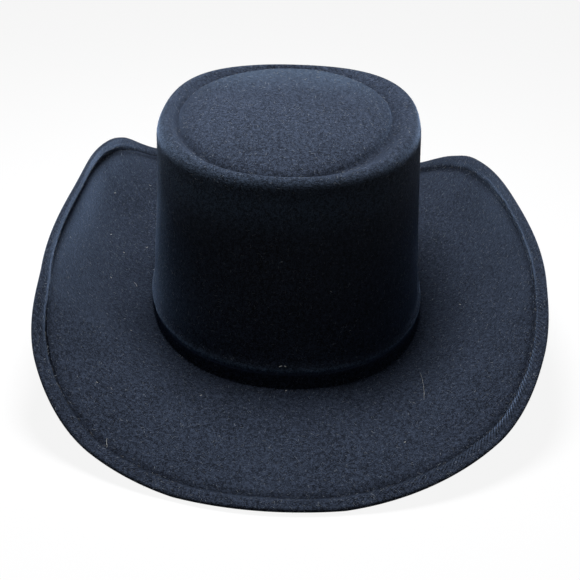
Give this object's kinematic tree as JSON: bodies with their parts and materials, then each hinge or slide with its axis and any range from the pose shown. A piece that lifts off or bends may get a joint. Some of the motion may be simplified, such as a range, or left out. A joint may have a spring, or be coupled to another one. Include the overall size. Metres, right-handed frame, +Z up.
{
  "type": "felt cowboy hat",
  "caption": "Black felt hat with a flat telescope crown, a ridge at the crown's foot and a wide brim that curls up at both sides and has a turned, sewn edge.",
  "frame": {"origin": "on the surface that the hat rests on, in the middle of its length and width", "axes": "+Z up, -Y to the front of the hat, +X to the right as seen by someone who faces that front"},
  "size_m": [0.2716, 0.401, 0.1311],
  "materials": {
    "felt": "matte wool felt, near black with a navy cast"
  },
  "bodies": {
    "root": {"felt_body": "felt"}
  },
  "joints": []
}
